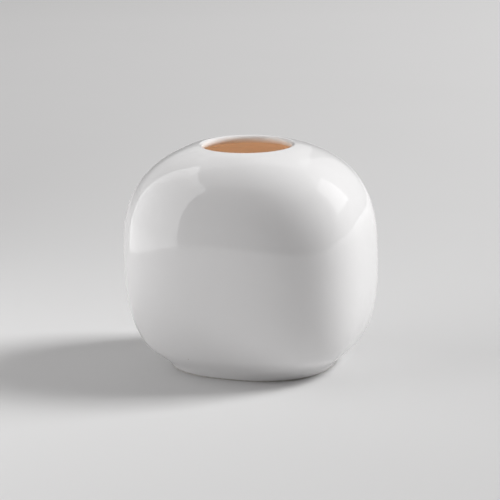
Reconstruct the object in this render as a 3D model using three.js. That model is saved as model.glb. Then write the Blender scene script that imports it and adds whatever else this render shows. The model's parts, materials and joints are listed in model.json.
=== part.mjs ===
// Bud vase in glazed white china: a soft, oblong block with a domed shoulder, an oval mouth and a low foot with
// hollow sides. Millimetres, +Z up. The origin is on the table under the middle of the vase, and its long side
// lies along X.
import * as THREE from "three";

// Outside of the finished vase
const bodyLength = 89;
const bodyDepth = 68;
const bodyHeight = 80;
const bellyHeight = 41.7; // height of the widest level above the table
const mouthLength = 35; // from crest to crest of the lip
const mouthDepth = 30.8;
const baseLength = 56; // outline that the base's curve would have if it ran on down to the table
const baseDepth = 45.2;
const footLength = 59.7; // outline of the glaze round the foot, just above the table
const footDepth = 49;
const flankHeight = 8; // height of the foot's hollow flank, which runs out into the base's curve

// How square each curve is: 2 gives an ellipse, more gives a soft square
const planSquareness = 2.8;
const mouthSquareness = 2;
const footSquareness = 2.36;
const shoulderSquareness = 2.5;
const baseSquareness = 3.05;
const planEasing = 3; // how late the plan eases from the body's squareness to the mouth's or the foot's

// Wall and coats
const wallThickness = 3;
const lipThickness = 3;
const floorThickness = 4.5; // from the table to the floor of the well
const glazeThickness = 0.4;

// Foot
const bareBand = 0.4; // strip above the table that is wiped clean of glaze
const footRingWidth = 4;
const footRecess = 1.6;

// Fineness of the faceted surface
const sidesAround = 40;
const baseSteps = 6;
const flankSteps = 4;
const shoulderSteps = 8;
const lipSteps = 6;

// Finishes
const finishes = {
  china_body: { color: 0xe9e4da, roughness: 0.6, metalness: 0 },
  outer_glaze: { color: 0xf4f4f3, roughness: 0.08, metalness: 0 },
  inner_glaze: { color: 0xf9f1e4, roughness: 0.15, metalness: 0 },
  foot_glaze: { color: 0xf0efec, roughness: 0.1, metalness: 0 },
};

// Distance from the belly at which a curve that is half wide there, and endHalf wide at endRise, would close.
function reachOf(half, endHalf, endRise, squareness) {
  return endRise / (1 - (endHalf / half) ** squareness) ** (1 / squareness);
}

// Half width of such a curve at some rise from the belly.
function halfAt(half, reach, rise, squareness) {
  return half * Math.max(0, 1 - (rise / reach) ** squareness) ** (1 / squareness);
}

// How much that half width grows for each millimetre further up, on a curve below the belly.
function growthAt(half, reach, rise, squareness) {
  const share = rise / reach;
  return (half / reach) * share ** (squareness - 1) * (1 - share ** squareness) ** (1 / squareness - 1);
}

// Half width of the foot's flank at some height: upright at the table, and running into the base's curve at its
// top.
function flankHalf(footHalf, baseHalf, growth, z) {
  const share = z / flankHeight;
  const fromBase = share ** 2 * (3 - 2 * share);
  return footHalf + (baseHalf - footHalf) * fromBase - growth * flankHeight * share ** 2 * (1 - share);
}

// Stations of the flank, from under the base's lowest station down to the lower edge of the glaze.
function flank(base) {
  const rise = bellyHeight - flankHeight;
  const growth = (half, endHalf) =>
    growthAt(half, reachOf(half, endHalf, bellyHeight, baseSquareness), rise, baseSquareness);
  const lengthGrowth = growth(bodyLength / 2, baseLength / 2);
  const depthGrowth = growth(bodyDepth / 2, baseDepth / 2);
  const stations = [];
  for (let step = 1; step <= flankSteps; step += 1) {
    const z = flankHeight - ((flankHeight - bareBand) * step) / flankSteps;
    stations.push({
      a: flankHalf(footLength / 2, base.a, lengthGrowth, z),
      b: flankHalf(footDepth / 2, base.b, depthGrowth, z),
      z,
      plan: footSquareness + ((base.plan - footSquareness) * z) / flankHeight,
    });
  }
  return stations;
}

// Rises from the belly to lastRise, closer together where the curve bends most.
function risesTo(lastRise, reach, squareness, steps) {
  const lastAngle = Math.asin((lastRise / reach) ** (squareness / 2));
  const rises = [];
  for (let step = 0; step <= steps; step += 1) {
    rises.push(reach * Math.sin((lastAngle * step) / steps) ** (2 / squareness));
  }
  return rises;
}

// One bulging half of the vase, above or below the belly. Its stations run from the belly to lastRise, each a
// level with its half length, half depth and plan squareness.
function bulge({ length, depth, endLength, endDepth, endRise, lastRise, squareness, steps, up, endPlan }) {
  const lengthReach = reachOf(length / 2, endLength / 2, endRise, squareness);
  const depthReach = reachOf(depth / 2, endDepth / 2, endRise, squareness);
  return risesTo(lastRise, lengthReach, squareness, steps).map((rise) => {
    const a = halfAt(length / 2, lengthReach, rise, squareness);
    const b = halfAt(depth / 2, depthReach, rise, squareness);
    const eased = ((length / 2 - a) / (length / 2 - endLength / 2)) ** planEasing;
    return { a, b, z: bellyHeight + up * rise, plan: planSquareness + (endPlan - planSquareness) * eased };
  });
}

// Stations of the finished surface, in one path: up the outside, round the lip and down the inside to the
// well's floor.
function surfacePath() {
  const lipRadius = lipThickness / 2;
  const shoulder = bulge({
    length: bodyLength,
    depth: bodyDepth,
    endLength: mouthLength,
    endDepth: mouthDepth,
    endRise: bodyHeight - bellyHeight,
    lastRise: bodyHeight - bellyHeight,
    squareness: shoulderSquareness,
    steps: shoulderSteps,
    up: 1,
    endPlan: mouthSquareness,
  });
  const base = bulge({
    length: bodyLength,
    depth: bodyDepth,
    endLength: baseLength,
    endDepth: baseDepth,
    endRise: bellyHeight,
    lastRise: bellyHeight - flankHeight,
    squareness: baseSquareness,
    steps: baseSteps,
    up: -1,
    endPlan: footSquareness,
  });
  const lip = [];
  for (let step = 1; step <= lipSteps; step += 1) {
    const turn = (Math.PI * step) / lipSteps;
    const inward = lipRadius * Math.sin(turn);
    lip.push({
      a: mouthLength / 2 - inward,
      b: mouthDepth / 2 - inward,
      z: bodyHeight - lipRadius + lipRadius * Math.cos(turn),
      plan: mouthSquareness,
    });
  }
  const innerShoulder = bulge({
    length: bodyLength - 2 * wallThickness,
    depth: bodyDepth - 2 * wallThickness,
    endLength: mouthLength,
    endDepth: mouthDepth,
    endRise: bodyHeight - lipThickness - bellyHeight,
    lastRise: bodyHeight - lipThickness - bellyHeight,
    squareness: shoulderSquareness,
    steps: shoulderSteps,
    up: 1,
    endPlan: mouthSquareness,
  });
  // The inside narrows as the base's curve does, one wall further in.
  const innerBase = bulge({
    length: bodyLength - 2 * wallThickness,
    depth: bodyDepth - 2 * wallThickness,
    endLength: baseLength - 2 * wallThickness,
    endDepth: baseDepth - 2 * wallThickness,
    endRise: bellyHeight - wallThickness,
    lastRise: bellyHeight - floorThickness,
    squareness: baseSquareness,
    steps: baseSteps,
    up: -1,
    endPlan: footSquareness,
  });
  const outside = [...flank(base.at(-1)).reverse(), ...base.reverse(), ...shoulder.slice(1), ...lip];
  const inside = [...innerShoulder.reverse().slice(1), ...innerBase.slice(1)];
  return { outside, inside };
}

// Unit normal of the path at each station, out of the wall, from its neighbours on the path.
function withNormals(stations) {
  return stations.map((station, index) => {
    const before = stations[Math.max(0, index - 1)];
    const after = stations[Math.min(stations.length - 1, index + 1)];
    const length = Math.hypot(after.a - before.a, after.z - before.z);
    return { ...station, out: (after.z - before.z) / length, rise: (before.a - after.a) / length };
  });
}

// The same stations, sunk below the finished surface by a depth.
function sunk(stations, depth) {
  return stations.map(({ a, b, z, plan, out, rise }) => ({
    a: a - depth * out,
    b: b - depth * out,
    z: z - depth * rise,
    plan,
  }));
}

// A point on the vase's own axis.
function onAxis(z) {
  return { a: 0, b: 0, z, plan: planSquareness };
}

// The ring of points at one station.
function ring({ a, b, z, plan }) {
  const points = [];
  for (let side = 0; side < sidesAround; side += 1) {
    const angle = (2 * Math.PI * side) / sidesAround;
    const along = Math.cos(angle);
    const across = Math.sin(angle);
    points.push(
      new THREE.Vector3(
        a * Math.sign(along) * Math.abs(along) ** (2 / plan),
        b * Math.sign(across) * Math.abs(across) ** (2 / plan),
        z,
      ),
    );
  }
  return points;
}

// The two triangles of one patch between two rings, split along the shorter way across, so that two pieces that
// share the patch split it alike.
function patch(start, end, endBeside, startBeside) {
  if (start.distanceTo(endBeside) < end.distanceTo(startBeside)) {
    return [start, end, endBeside, start, endBeside, startBeside];
  }
  return [start, end, startBeside, end, endBeside, startBeside];
}

// Closed solid through a path of stations. The path starts and ends on the axis, or it closes on itself.
function loft(stations) {
  const rings = stations.map(ring);
  const isPoint = stations.map(({ a }) => a === 0);
  const spans = isPoint[0] ? rings.length - 1 : rings.length;
  const corners = [];
  for (let span = 0; span < spans; span += 1) {
    const next = (span + 1) % rings.length;
    for (let side = 0; side < sidesAround; side += 1) {
      const beside = (side + 1) % sidesAround;
      const [start, startBeside] = [rings[span][side], rings[span][beside]];
      const [end, endBeside] = [rings[next][side], rings[next][beside]];
      if (isPoint[span]) corners.push(start, end, endBeside);
      else if (isPoint[next]) corners.push(start, end, startBeside);
      else corners.push(...patch(start, end, endBeside, startBeside));
    }
  }
  const geometry = new THREE.BufferGeometry().setFromPoints(corners);
  geometry.computeVertexNormals();
  return geometry;
}

const surface = surfacePath();
const wellFloor = onAxis(floorThickness);
const stations = withNormals([...surface.outside, ...surface.inside]);
const outside = stations.slice(0, surface.outside.length);
const inside = stations.slice(surface.outside.length - 1); // both coats meet at the underside of the lip
const outsideBack = sunk(outside, glazeThickness);
const insideBack = sunk(inside, glazeThickness);
const wellFloorBack = onAxis(insideBack.at(-1).z);

// The casting: its well, lip and outside lie one coat below the finished surface, and its foot ring is bare.
function chinaBody() {
  const footEdge = { ...outsideBack[0], z: 0 };
  const ringEdge = { ...footEdge, a: footEdge.a - footRingWidth, b: footEdge.b - footRingWidth };
  const recessEdge = { ...ringEdge, z: footRecess };
  const skin = [...outsideBack, ...insideBack.slice(1)].reverse();
  const path = [wellFloorBack, ...skin, footEdge, ringEdge, recessEdge, onAxis(footRecess)];
  return { recessEdge, solid: loft(path) };
}

// White coat over the outside and round the lip.
function outerGlaze() {
  return loft([...outside.toReversed(), ...outsideBack]);
}

// Coat of the well, from the underside of the lip to the floor.
function innerGlaze() {
  return loft([wellFloor, ...inside.toReversed(), ...insideBack, wellFloorBack]);
}

// Coat on the ceiling of the recess under the foot.
function footGlaze(recessEdge) {
  const underside = footRecess - glazeThickness;
  return loft([onAxis(footRecess), recessEdge, { ...recessEdge, z: underside }, onAxis(underside)]);
}

function piece(name, geometry) {
  const mesh = new THREE.Mesh(geometry, new THREE.MeshStandardMaterial(finishes[name]));
  mesh.name = name;
  return mesh;
}

const body = chinaBody();
const vase = new THREE.Group();
vase.add(piece("china_body", body.solid));
vase.add(piece("outer_glaze", outerGlaze()));
vase.add(piece("inner_glaze", innerGlaze()));
vase.add(piece("foot_glaze", footGlaze(body.recessEdge)));

export default vase;
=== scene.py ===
import json
import math
import bpy
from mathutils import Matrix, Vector

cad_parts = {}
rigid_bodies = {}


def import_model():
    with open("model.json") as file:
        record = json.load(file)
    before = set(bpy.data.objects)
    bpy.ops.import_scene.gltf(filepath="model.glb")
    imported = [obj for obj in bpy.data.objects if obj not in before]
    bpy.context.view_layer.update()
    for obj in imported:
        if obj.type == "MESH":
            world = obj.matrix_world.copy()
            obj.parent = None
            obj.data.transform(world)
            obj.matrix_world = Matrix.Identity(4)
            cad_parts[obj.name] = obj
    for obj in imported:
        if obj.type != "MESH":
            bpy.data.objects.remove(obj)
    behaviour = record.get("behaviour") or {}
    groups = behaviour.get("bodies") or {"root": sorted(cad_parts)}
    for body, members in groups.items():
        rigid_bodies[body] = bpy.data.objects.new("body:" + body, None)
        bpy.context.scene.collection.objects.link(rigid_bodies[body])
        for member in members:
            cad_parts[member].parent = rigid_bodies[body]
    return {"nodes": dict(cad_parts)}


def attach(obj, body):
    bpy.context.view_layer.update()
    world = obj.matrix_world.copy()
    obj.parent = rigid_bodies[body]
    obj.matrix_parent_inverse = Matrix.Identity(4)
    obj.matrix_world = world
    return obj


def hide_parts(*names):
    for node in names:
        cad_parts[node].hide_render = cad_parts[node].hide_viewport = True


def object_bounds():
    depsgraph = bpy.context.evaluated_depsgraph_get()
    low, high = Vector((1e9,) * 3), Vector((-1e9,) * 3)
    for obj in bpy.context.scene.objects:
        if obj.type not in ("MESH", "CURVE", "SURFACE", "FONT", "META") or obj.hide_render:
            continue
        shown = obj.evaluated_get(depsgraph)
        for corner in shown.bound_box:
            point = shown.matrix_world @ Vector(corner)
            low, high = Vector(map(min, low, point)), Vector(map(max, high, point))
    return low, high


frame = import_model()
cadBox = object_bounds()
scene = bpy.context.scene
scene.view_settings.view_transform = "Standard"
lightBounces = 48  # light turns many times in the well before it comes out of the mouth
scene.cycles.max_bounces = lightBounces
scene.cycles.diffuse_bounces = lightBounces
print("frame loaded:", ", ".join(sorted(frame["nodes"])))

origin = (0, 0, 0)  # on the table, under the middle of the vase

# How the copies of the CAD nodes are cleaned and rounded, with angles in degrees
meshing = {
    "mergeWithin": 1e-5,
    "quadBend": 40,  # two triangles that bend less than this become a quad
    "quadSkew": 60,
    "rimAngle": 55,  # an edge that is sharper than this is a rim
    "smoothAngle": 50,
    "middleWithin": 0.0001,  # a point this near to the upright axis is the middle of a floor
    "cuts": 1,
    "levels": 1,
    "beadSteps": 2,
}


def workOn(piece):
    # only this piece is selected, so that nothing else is changed by an operator
    bpy.ops.object.select_all(action="DESELECT")
    piece.select_set(True)
    bpy.context.view_layer.objects.active = piece


def copyNode(nodeName, pieceName):
    # a CAD node comes as loose triangles, so its copy is merged and made of quads again
    workOn(frame["nodes"][nodeName])
    bpy.ops.object.duplicate()
    piece = bpy.context.active_object
    bpy.ops.object.parent_clear(type="CLEAR_KEEP_TRANSFORM")
    piece.name = pieceName
    piece.data.name = pieceName
    for key in list(piece.keys()):  # what marks the node doesn't belong on its copy
        del piece[key]
    piece.data.materials.clear()
    bpy.ops.object.mode_set(mode="EDIT")
    bpy.ops.mesh.select_all(action="SELECT")
    bpy.ops.mesh.remove_doubles(threshold=meshing["mergeWithin"])
    bpy.ops.mesh.customdata_custom_splitnormals_clear()
    bend, skew = math.radians(meshing["quadBend"]), math.radians(meshing["quadSkew"])
    bpy.ops.mesh.tris_convert_to_quads(face_threshold=bend, shape_threshold=skew)
    bpy.ops.object.mode_set(mode="OBJECT")
    return piece


def clearSelection(kind):
    # edit mode, with nothing selected and points, edges or faces to be selected next
    bpy.ops.object.mode_set(mode="EDIT")
    bpy.ops.mesh.select_mode(type=kind)
    bpy.ops.mesh.select_all(action="DESELECT")


def selectWhere(piece, kind, test):
    # edit mode, with the points, edges or faces selected that pass the test
    clearSelection(kind)
    bpy.ops.object.mode_set(mode="OBJECT")
    mesh = piece.data
    for part in {"VERT": mesh.vertices, "EDGE": mesh.edges, "FACE": mesh.polygons}[kind]:
        part.select = test(part)
    bpy.ops.object.mode_set(mode="EDIT")


def heights(piece, part):
    # how high the corners of an edge or a face are
    return [piece.data.vertices[i].co.z for i in part.vertices]


def keepSkin(piece, best):
    # splits a closed coat along its rims and keeps the sheet with the point for which best is largest
    clearSelection("EDGE")
    bpy.ops.mesh.edges_select_sharp(sharpness=math.radians(meshing["rimAngle"]))
    bpy.ops.mesh.edge_split(type="EDGE")
    clearSelection("VERT")
    bpy.ops.object.mode_set(mode="OBJECT")
    max(piece.data.vertices, key=lambda v: best(v.co)).select = True
    bpy.ops.object.mode_set(mode="EDIT")
    bpy.ops.mesh.select_linked()
    bpy.ops.mesh.select_all(action="INVERT")
    bpy.ops.mesh.delete(type="VERT")
    bpy.ops.object.mode_set(mode="OBJECT")


def joinMiddle(piece):
    # the thin triangles that meet in the middle of the well's floor become one flat face
    selectWhere(piece, "VERT", lambda v: math.hypot(v.co.x, v.co.y) < meshing["middleWithin"])
    bpy.ops.mesh.dissolve_verts()
    bpy.ops.object.mode_set(mode="OBJECT")


def addModifier(piece, name, kind, **settings):
    workOn(piece)
    modifier = piece.modifiers.new(name, kind)
    for key, value in settings.items():
        setattr(modifier, key, value)
    bpy.ops.object.modifier_apply(modifier=name)


def roundOut(piece):
    # new points are put on the curve through the old ones, then one smoothing pass makes the surface run on
    bpy.ops.object.mode_set(mode="EDIT")
    bpy.ops.mesh.select_all(action="SELECT")
    bpy.ops.mesh.subdivide(number_cuts=meshing["cuts"], smoothness=1.0)
    bpy.ops.object.mode_set(mode="OBJECT")
    addModifier(piece, "round", "SUBSURF", levels=meshing["levels"], render_levels=meshing["levels"])


def thicken(piece, thickness):
    # the skin stays where it is, and the wall grows inwards from it
    addModifier(piece, "wall", "SOLIDIFY", thickness=thickness, offset=-1.0)


def finishPiece(piece, node, material):
    workOn(piece)
    bpy.ops.object.shade_smooth_by_angle(angle=math.radians(meshing["smoothAngle"]))
    piece.data.materials.append(material)
    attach(piece, "root")
    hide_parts(node)
    print("made", piece.name, len(piece.data.polygons), "faces")


# In each dictionary a noise is its scale and detail, and a relief its strength and depth
wholeSpan = (0, 1)
noiseSpan = (0.3, 0.7)  # most values of a noise lie here


def newMaterial(name):
    material = bpy.data.materials.new(name)
    material.use_nodes = True
    tree = material.node_tree
    place = tree.nodes.new("ShaderNodeTexCoord")
    return material, tree, place.outputs["Object"]


def feed(tree, socket, value):
    # a number or a colour is set on the socket itself, and what a node gives is linked to it
    if isinstance(value, (int, float)):
        socket.default_value = value
    elif isinstance(value, tuple):
        socket.default_value = (*value, 1)
    else:
        tree.links.new(value, socket)


def setShader(tree, settings):
    for key, value in settings.items():
        feed(tree, tree.nodes["Principled BSDF"].inputs[key], value)


def addNoise(tree, place, noise):
    pattern = tree.nodes.new("ShaderNodeTexNoise")
    pattern.inputs["Scale"].default_value, pattern.inputs["Detail"].default_value = noise
    tree.links.new(place, pattern.inputs["Vector"])
    return pattern.outputs["Fac"]


def addAxes(tree, place):
    axes = tree.nodes.new("ShaderNodeSeparateXYZ")
    tree.links.new(place, axes.inputs["Vector"])
    return axes.outputs


def addMath(tree, kind, first, second=0):
    step = tree.nodes.new("ShaderNodeMath")
    step.operation = kind
    feed(tree, step.inputs[0], first)
    feed(tree, step.inputs[1], second)
    return step.outputs["Value"]


def addRange(tree, value, fromSpan, toSpan, kind="LINEAR"):
    spread = tree.nodes.new("ShaderNodeMapRange")
    spread.interpolation_type = kind
    for key, number in zip(("From Min", "From Max", "To Min", "To Max"), (*fromSpan, *toSpan)):
        spread.inputs[key].default_value = number
    tree.links.new(value, spread.inputs["Value"])
    return spread.outputs["Result"]


def addMix(tree, share, first, second):
    mix = tree.nodes.new("ShaderNodeMix")
    mix.data_type = "RGBA"
    tree.links.new(share, mix.inputs["Factor"])
    for socket, colour in zip([s for s in mix.inputs if s.type == "RGBA"], (first, second)):
        feed(tree, socket, colour)
    return [s for s in mix.outputs if s.type == "RGBA"][0]


def addBump(tree, height, relief, below=None):
    bump = tree.nodes.new("ShaderNodeBump")
    bump.inputs["Strength"].default_value, bump.inputs["Distance"].default_value = relief
    tree.links.new(height, bump.inputs["Height"])
    if below is not None:
        tree.links.new(below, bump.inputs["Normal"])
    return bump.outputs["Normal"]


# White coat over the outside and round the lip
whiteCoat = {
    "thickness": 0.0004,
    "edgeBead": 0.00016,  # rounding of its lower edge
    "edgeUnder": 0.0006,  # the lower edge lies under this height
    "edgeLevel": 0.0002,  # and rises less than this from point to point
    "white": (0.90, 0.896, 0.897),
    "whiteShade": (0.886, 0.882, 0.883),
    "cloud": (26, 2.0),
    "speck": (0.42, 0.38, 0.33),
    "speckCells": 150,  # cells along a metre
    "speckSize": 0.04,  # share of a cell
    "speckFrom": 0.94,  # a cell whose draw is over this has a speck
    # painted warm light that the well throws on the inner half of the lip
    "paintedWellLight": (0.95, 0.91, 0.855),
    "paintedWellLightSpan": (0.96, 0.84),  # shares of the crest's size where the painted warm light from the well starts and is full
    "lipHalf": (0.0175, 0.0154),  # half length and half depth of the lip's crest
    "lipFrom": 0.07,  # height over which the coat is taken for the lip
    "glow": (1.0, 0.84, 0.68),  # light that comes through the thin lip
    "glowLevel": 0.10,
    "gloss": (0.02, 0.04),
    "glossNoise": (90, 2.0),
    "ior": 1.62,
    "wave": (45, 1.0),
    "waveRelief": (0.06, 0.002),
    "peel": (420, 2.0),
    "peelRelief": (0.015, 0.0004),
}


def makeWhiteCoat():
    piece = copyNode("outer_glaze", "outerGlaze")
    keepSkin(piece, lambda p: p.x)
    roundOut(piece)
    thicken(piece, whiteCoat["thickness"])

    def isLowerEdge(edge):
        low, high = sorted(heights(piece, edge))
        return high < whiteCoat["edgeUnder"] and high - low < whiteCoat["edgeLevel"]

    selectWhere(piece, "EDGE", isLowerEdge)
    bpy.ops.mesh.bevel(offset=whiteCoat["edgeBead"], segments=meshing["beadSteps"], affect="EDGES")
    bpy.ops.object.mode_set(mode="OBJECT")
    return piece


def addSpecks(tree, place):
    # 1 on a tiny spot in a few cells of a cell pattern
    cells = tree.nodes.new("ShaderNodeTexVoronoi")
    cells.inputs["Scale"].default_value = whiteCoat["speckCells"]
    tree.links.new(place, cells.inputs["Vector"])
    draw = tree.nodes.new("ShaderNodeSeparateColor")
    tree.links.new(cells.outputs["Color"], draw.inputs["Color"])
    near = addMath(tree, "LESS_THAN", cells.outputs["Distance"], whiteCoat["speckSize"])
    rare = addMath(tree, "GREATER_THAN", draw.outputs["Red"], whiteCoat["speckFrom"])
    return addMath(tree, "MULTIPLY", near, rare)


def addInnerLip(tree, place):
    # 1 on the inner half of the lip, 0 from its crest outwards
    axes = addAxes(tree, place)
    halfLength, halfDepth = whiteCoat["lipHalf"]
    along = addMath(tree, "DIVIDE", axes["X"], halfLength)
    across = addMath(tree, "DIVIDE", axes["Y"], halfDepth)
    squareAlong = addMath(tree, "MULTIPLY", along, along)
    squareAcross = addMath(tree, "MULTIPLY", across, across)
    outness = addMath(tree, "SQRT", addMath(tree, "ADD", squareAlong, squareAcross))
    inward = addRange(tree, outness, whiteCoat["paintedWellLightSpan"], wholeSpan, "SMOOTHSTEP")
    high = addMath(tree, "GREATER_THAN", axes["Z"], whiteCoat["lipFrom"])
    return addMath(tree, "MULTIPLY", inward, high)


def whiteGlaze():
    material, tree, place = newMaterial("white_glaze")
    cloud = addNoise(tree, place, whiteCoat["cloud"])
    tone = addMix(tree, cloud, whiteCoat["white"], whiteCoat["whiteShade"])
    tone = addMix(tree, addSpecks(tree, place), tone, whiteCoat["speck"])
    innerLip = addInnerLip(tree, place)  # here the lip gets a painted warm light from the well, and a painted glow
    gloss = addNoise(tree, place, whiteCoat["glossNoise"])
    wave = addBump(tree, addNoise(tree, place, whiteCoat["wave"]), whiteCoat["waveRelief"])
    peel = addNoise(tree, place, whiteCoat["peel"])
    setShader(tree, {
        "Base Color": addMix(tree, innerLip, tone, whiteCoat["paintedWellLight"]),
        "Emission Color": whiteCoat["glow"],
        "Emission Strength": addMath(tree, "MULTIPLY", innerLip, whiteCoat["glowLevel"]),
        "Roughness": addRange(tree, gloss, noiseSpan, whiteCoat["gloss"]),
        "IOR": whiteCoat["ior"],
        "Normal": addBump(tree, peel, whiteCoat["peelRelief"], wave),
    })
    return material


outerGlaze = makeWhiteCoat()
finishPiece(outerGlaze, "outer_glaze", whiteGlaze())

# Coat of the well, white with a warm tint that is painted light from the thin walls
wellCoat = {
    "thickness": 0.0004,
    "middlePull": 9,  # a step away from the middle counts this many times a step down
    # a warm tint, painted light that comes through the thin walls
    "warmLitCream": (0.95, 0.88, 0.78),
    "warmLitCreamCloud": (0.94, 0.865, 0.76),
    "cloud": (60, 4.0),
    # painted shade: darker and warmer towards the floor of the well
    "paintedDeepShade": (0.84, 0.72, 0.58),
    "paintedShadeSpan": (0.045, 0.006),  # heights where the painted shade starts and is darkest
    "glow": (1.0, 0.65, 0.42),  # light that comes through the thin wall
    "glowLevel": 0.043,
    "gloss": (0.12, 0.22),
    "glossNoise": (120, 2.0),
    "ior": 1.55,
    "grain": (300, 2.0),
    "grainRelief": (0.05, 0.0005),
}


def makeWellCoat():
    piece = copyNode("inner_glaze", "innerGlaze")
    # the skin with the upper middle point of the floor is the open side
    keepSkin(piece, lambda p: p.z - wellCoat["middlePull"] * (abs(p.x) + abs(p.y)))
    joinMiddle(piece)
    roundOut(piece)
    thicken(piece, wellCoat["thickness"])
    return piece


def wellGlaze():
    material, tree, place = newMaterial("well_glaze")
    cloud = addRange(tree, addNoise(tree, place, wellCoat["cloud"]), noiseSpan, wholeSpan)
    tone = addMix(tree, cloud, wellCoat["warmLitCream"], wellCoat["warmLitCreamCloud"])
    height = addAxes(tree, place)["Z"]
    # painted shade, growing towards the floor of the well
    paintedShade = addRange(tree, height, wellCoat["paintedShadeSpan"], wholeSpan, "SMOOTHSTEP")
    gloss = addNoise(tree, place, wellCoat["glossNoise"])
    grain = addNoise(tree, place, wellCoat["grain"])
    setShader(tree, {
        "Base Color": addMix(tree, paintedShade, tone, wellCoat["paintedDeepShade"]),
        "Emission Color": wellCoat["glow"],
        "Emission Strength": wellCoat["glowLevel"],
        "Roughness": addRange(tree, gloss, noiseSpan, wellCoat["gloss"]),
        "IOR": wellCoat["ior"],
        "Normal": addBump(tree, grain, wellCoat["grainRelief"]),
    })
    return material


innerGlaze = makeWellCoat()
finishPiece(innerGlaze, "inner_glaze", wellGlaze())

# The casting, bare on its foot ring
casting = {
    "ringWidth": 0.004,
    "recess": 0.0016,
    "footUnder": 0.00165,  # the faces of the flat foot lie under this height
    "footDown": 0.97,  # and point down by this much or more
    "footUpright": 0.3,  # or, at its edges, up or down by less than this
    # darker than bare china is: the extra darkness is painted shade along the contact with the table
    "bare": (0.70, 0.68, 0.645),
    "bareShade": (0.60, 0.575, 0.54),
    "roughness": (0.55, 0.75),
    "ior": 1.5,
    "grain": (700, 4.0),
    "grainSpan": (0.35, 0.65),
    "grainRelief": (0.15, 0.0002),
}


def makeCasting():
    # the flat foot is taken off, the wall rounded, and the foot drawn in again from the open lower edge
    piece = copyNode("china_body", "chinaBody")

    def isFootFace(face):
        if max(heights(piece, face)) >= casting["footUnder"]:
            return False
        return face.normal.z < -casting["footDown"] or abs(face.normal.z) < casting["footUpright"]

    selectWhere(piece, "FACE", isFootFace)
    bpy.ops.mesh.delete(type="FACE")
    bpy.ops.object.mode_set(mode="OBJECT")
    joinMiddle(piece)
    roundOut(piece)
    clearSelection("EDGE")
    bpy.ops.mesh.select_non_manifold()
    bpy.ops.transform.resize(value=(1, 1, 0), center_override=origin)  # the open edge is laid on the table
    bpy.ops.object.mode_set(mode="OBJECT")
    ends = [p.co for p in piece.data.vertices if p.select]
    halfLength, halfDepth = max(p.x for p in ends), max(p.y for p in ends)
    inward = (1 - casting["ringWidth"] / halfLength, 1 - casting["ringWidth"] / halfDepth, 1)
    bpy.ops.object.mode_set(mode="EDIT")
    bpy.ops.mesh.extrude_edges_move()
    bpy.ops.transform.resize(value=inward, center_override=origin)
    bpy.ops.mesh.extrude_edges_move(TRANSFORM_OT_translate={"value": (0, 0, casting["recess"])})
    bpy.ops.mesh.edge_face_add()
    bpy.ops.mesh.select_all(action="SELECT")
    bpy.ops.mesh.normals_make_consistent(inside=False)
    bpy.ops.object.mode_set(mode="OBJECT")
    return piece


def bareChina():
    material, tree, place = newMaterial("bare_china")
    grain = addRange(tree, addNoise(tree, place, casting["grain"]), casting["grainSpan"], wholeSpan)
    setShader(tree, {
        "Base Color": addMix(tree, grain, casting["bare"], casting["bareShade"]),
        "Roughness": addRange(tree, grain, wholeSpan, casting["roughness"]),
        "IOR": casting["ior"],
        "Normal": addBump(tree, grain, casting["grainRelief"]),
    })
    return material


chinaBody = makeCasting()
finishPiece(chinaBody, "china_body", bareChina())

# Coat in the recess under the foot
recessCoat = {
    "edge": 0.00015,
    "white": (0.84, 0.84, 0.82),
    "whiteShade": (0.78, 0.78, 0.755),
    "cloud": (80, 3.0),
    "gloss": (0.08, 0.16),
    "glossNoise": (140, 2.0),
    "ior": 1.6,
    "grain": (260, 2.0),
    "grainRelief": (0.06, 0.0005),
}


def makeRecessCoat():
    piece = copyNode("foot_glaze", "footGlaze")
    addModifier(piece, "edge", "BEVEL", width=recessCoat["edge"], segments=meshing["beadSteps"],
                limit_method="ANGLE", angle_limit=math.radians(meshing["rimAngle"]))
    return piece


def recessGlaze():
    material, tree, place = newMaterial("foot_glaze")
    cloud = addRange(tree, addNoise(tree, place, recessCoat["cloud"]), noiseSpan, wholeSpan)
    gloss = addNoise(tree, place, recessCoat["glossNoise"])
    grain = addNoise(tree, place, recessCoat["grain"])
    setShader(tree, {
        "Base Color": addMix(tree, cloud, recessCoat["white"], recessCoat["whiteShade"]),
        "Roughness": addRange(tree, gloss, noiseSpan, recessCoat["gloss"]),
        "IOR": recessCoat["ior"],
        "Normal": addBump(tree, grain, recessCoat["grainRelief"]),
    })
    return material


footGlaze = makeRecessCoat()
finishPiece(footGlaze, "foot_glaze", recessGlaze())

# Camera, at the photograph's viewing angle, with angles in degrees
shot = {
    "turn": 22.0,  # to the right of the middle of the long side
    "rise": 14.795,
    "away": 0.8092,
    "aim": (-0.00021, -0.00009, 0.04117),
    "roll": -1.908,
    "lens": 163.08,
    "sensor": 36,
}


def aroundCamera(turn, rise, away):
    # a place given by its turn to the right of the camera, its rise and its distance
    angle, lift = math.radians(shot["turn"] + turn), math.radians(rise)
    level = math.cos(lift)
    return Vector((math.sin(angle) * level, -math.cos(angle) * level, math.sin(lift))) * away


def makeCamera():
    aim = Vector(shot["aim"])
    place = aim + aroundCamera(0, shot["rise"], shot["away"])
    bpy.ops.object.camera_add(location=place)
    camera = bpy.context.active_object
    camera.rotation_euler = (aim - place).to_track_quat("-Z", "Y").to_euler()
    camera.rotation_euler.rotate_axis("Z", math.radians(shot["roll"]))
    camera.data.lens = shot["lens"]
    camera.data.sensor_width = shot["sensor"]
    scene.camera = camera


makeCamera()
print("camera set")

# Table top, with painted light that makes it paler towards the back
table = {
    "half": 4.0,
    "front": 0.43,  # distance of its near edge
    "steps": 8,
    "greyNear": (0.655, 0.655, 0.655),
    "greyFar": (0.82, 0.82, 0.82),
    "greySpan": (-0.2, 0.8),  # depths behind the vase where the near tone ends and the far one starts
    "cloud": (9, 2.0),
    "cloudShift": (-0.05, 0.05),
    "roughness": 0.7,
}


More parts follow.
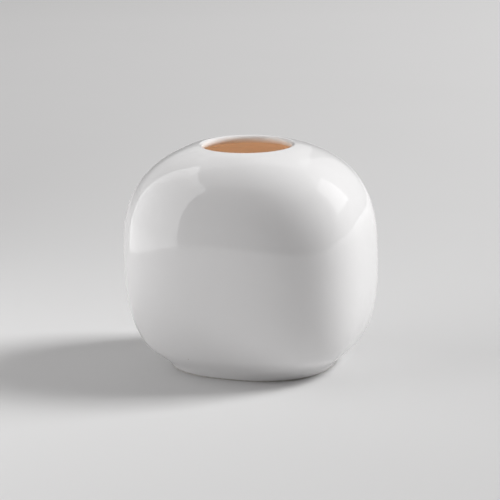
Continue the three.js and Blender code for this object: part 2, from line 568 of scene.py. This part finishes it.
def makeTable():
    bpy.ops.object.select_all(action="DESELECT")
    bpy.ops.mesh.primitive_grid_add(
        x_subdivisions=table["steps"], y_subdivisions=table["steps"], size=2 * table["half"])
    top = bpy.context.active_object
    top.name = "tableTop"
    # its near edge is a straight one across the view
    bpy.ops.object.mode_set(mode="EDIT")
    bpy.ops.transform.translate(value=(0, table["half"] - table["front"], 0))
    bpy.ops.transform.rotate(value=-math.radians(shot["turn"]), orient_axis="Z", center_override=origin)
    bpy.ops.object.mode_set(mode="OBJECT")
    top.data.materials.append(tableGrey())


def tableGrey():
    material, tree, place = newMaterial("table_top")
    depth = tree.nodes.new("ShaderNodeVectorMath")
    depth.operation = "DOT_PRODUCT"
    depth.inputs[1].default_value = -aroundCamera(0, 0, 1)
    tree.links.new(place, depth.inputs[0])
    back = addRange(tree, depth.outputs["Value"], table["greySpan"], wholeSpan)
    cloud = addRange(tree, addNoise(tree, place, table["cloud"]), wholeSpan, table["cloudShift"])
    setShader(tree, {
        "Base Color": addMix(tree, addMath(tree, "ADD", back, cloud), table["greyNear"], table["greyFar"]),
        "Roughness": table["roughness"],
        "Specular IOR Level": 0,
    })
    return material


makeTable()
print("table set")

# Lights. Each stands at a turn to the right of the camera, a distance along the table and a height. It looks
# at the vase or, where facing is given, level to that turn. With mirrored False the glaze doesn't mirror it,
# and with lit False it is only seen mirrored.
lights = {
    "key": {
        "turn": 97, "away": 2.15, "height": 1.82,
        "size": (0.90, 1.10), "watts": 71.0, "mirrored": False,
    },
    "rightPanel": {
        "turn": 108.7, "away": 0.471, "height": 0.372, "facing": -96,
        "size": (0.34, 0.38), "watts": 0.40, "lit": False,
    },
    "sidePanel": {
        "turn": 118, "away": 0.7, "height": 0.553, "facing": -62,
        "size": (1.12, 1.0), "watts": 1.1, "lit": False,
    },
    "backPanel": {
        "turn": 203, "away": 0.5, "height": 0.55,
        "size": (1.1, 0.8), "watts": 1.0, "lit": False,
    },
    "leftPanel": {
        "turn": -76, "away": 0.30, "height": 0.24, "facing": 65.7,
        "size": (0.405, 0.48), "watts": 0.83,
    },
    "ceiling": {
        "turn": 0, "away": 0.0, "height": 1.2,
        "size": (1.6, 1.6), "watts": 2.3,
    },
}
vaseMiddle = Vector((0, 0, (cadBox[0][2] + cadBox[1][2]) / 2))


def addPanel(name, turn, away, height, size, watts, lit=True, mirrored=True, facing=None):
    place = aroundCamera(turn, 0, away) + Vector((0, 0, height))
    look = vaseMiddle - place
    if facing is not None:
        look = aroundCamera(facing, 0, 1)
    bpy.ops.object.light_add(type="AREA", location=place)
    panel = bpy.context.active_object
    panel.name = name
    panel.rotation_euler = look.to_track_quat("-Z", "Y").to_euler()
    panel.data.shape = "RECTANGLE"
    panel.data.size, panel.data.size_y = size
    panel.data.energy = watts
    panel.visible_camera = False
    panel.visible_diffuse = lit
    panel.visible_glossy = mirrored


for name, light in lights.items():
    addPanel(name, **light)

# Even light from all round, dark in the glaze and pale where the camera looks past the table
room = {
    "grey": (0.136, 0.129, 0.128),
    "mirrored": (0.04, 0.04, 0.04),
    "seen": (0.60, 0.60, 0.60),
}


def makeRoom():
    world = bpy.data.worlds.new("room")
    world.use_nodes = True
    tree = world.node_tree
    ray = tree.nodes.new("ShaderNodeLightPath")
    tone = addMix(tree, ray.outputs["Is Glossy Ray"], room["grey"], room["mirrored"])
    tone = addMix(tree, ray.outputs["Is Camera Ray"], tone, room["seen"])
    tree.links.new(tone, tree.nodes["Background"].inputs["Color"])
    scene.world = world


makeRoom()
print("lights set")
